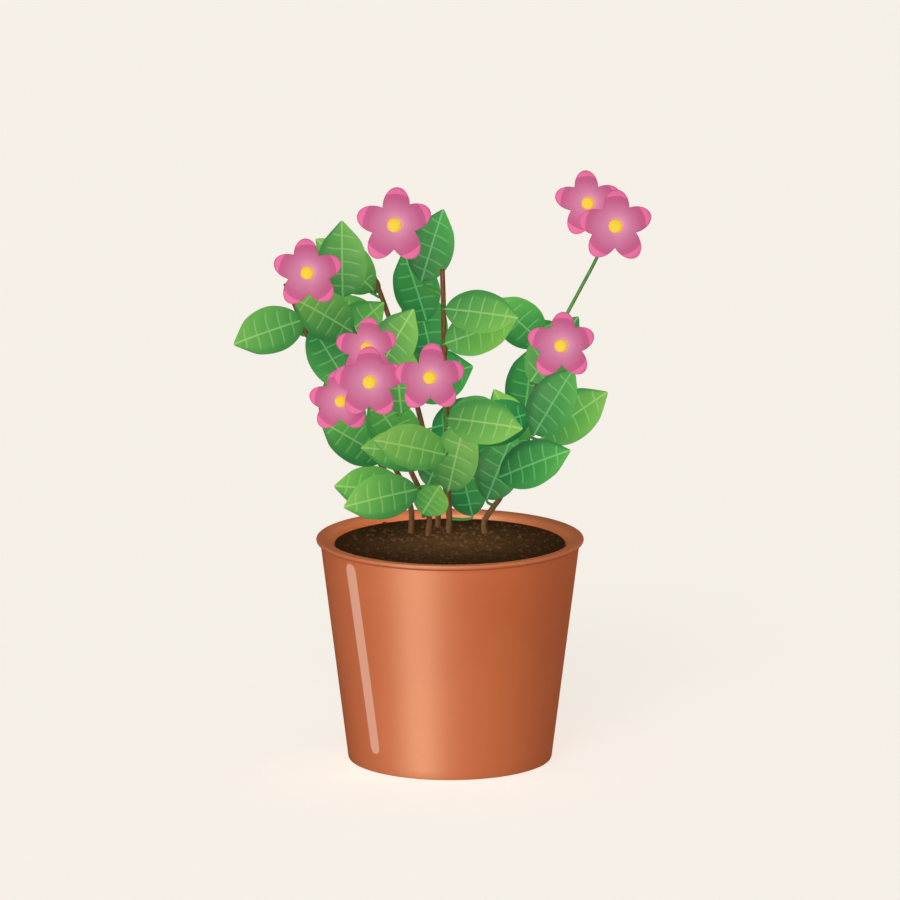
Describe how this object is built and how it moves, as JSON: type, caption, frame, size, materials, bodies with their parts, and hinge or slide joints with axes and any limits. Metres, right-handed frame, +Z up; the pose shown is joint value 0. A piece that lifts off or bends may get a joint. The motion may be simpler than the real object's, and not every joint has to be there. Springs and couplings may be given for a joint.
{
  "type": "potted crossandra",
  "caption": "Flowering house plant with broad green leaves and pink five-petalled blooms, growing in a tapered terracotta pot filled with soil.",
  "frame": {"origin": "centre of the pot's flat underside", "axes": "+Z up along the pot's axis, -Y to the front, +X to the right as seen from the front"},
  "size_m": [0.2155, 0.1551, 0.3134],
  "materials": {
    "terracotta": "satin fired clay",
    "soil": "rough, crumbly",
    "foliage": "soft satin",
    "petal": "matte",
    "eye": "matte"
  },
  "bodies": {
    "root": {"pot": "terracotta", "soil": "soil", "stem_far_left": "foliage", "stem_left": "foliage", "stem_inner_left": "foliage", "stem_centre": "foliage", "stem_back": "foliage", "stem_right": "foliage", "bloom_top": "petal", "bloom_top_eye": "eye", "bloom_left": "petal", "bloom_left_eye": "eye", "bloom_high_right_rear": "petal", "bloom_high_right_rear_eye": "eye", "bloom_high_right": "petal", "bloom_high_right_eye": "eye", "bloom_right": "petal", "bloom_right_eye": "eye", "bloom_cluster_upper": "petal", "bloom_cluster_upper_eye": "eye", "bloom_cluster_front": "petal", "bloom_cluster_front_eye": "eye", "bloom_cluster_low": "petal", "bloom_cluster_low_eye": "eye", "bloom_centre": "petal", "bloom_centre_eye": "eye"}
  },
  "joints": []
}
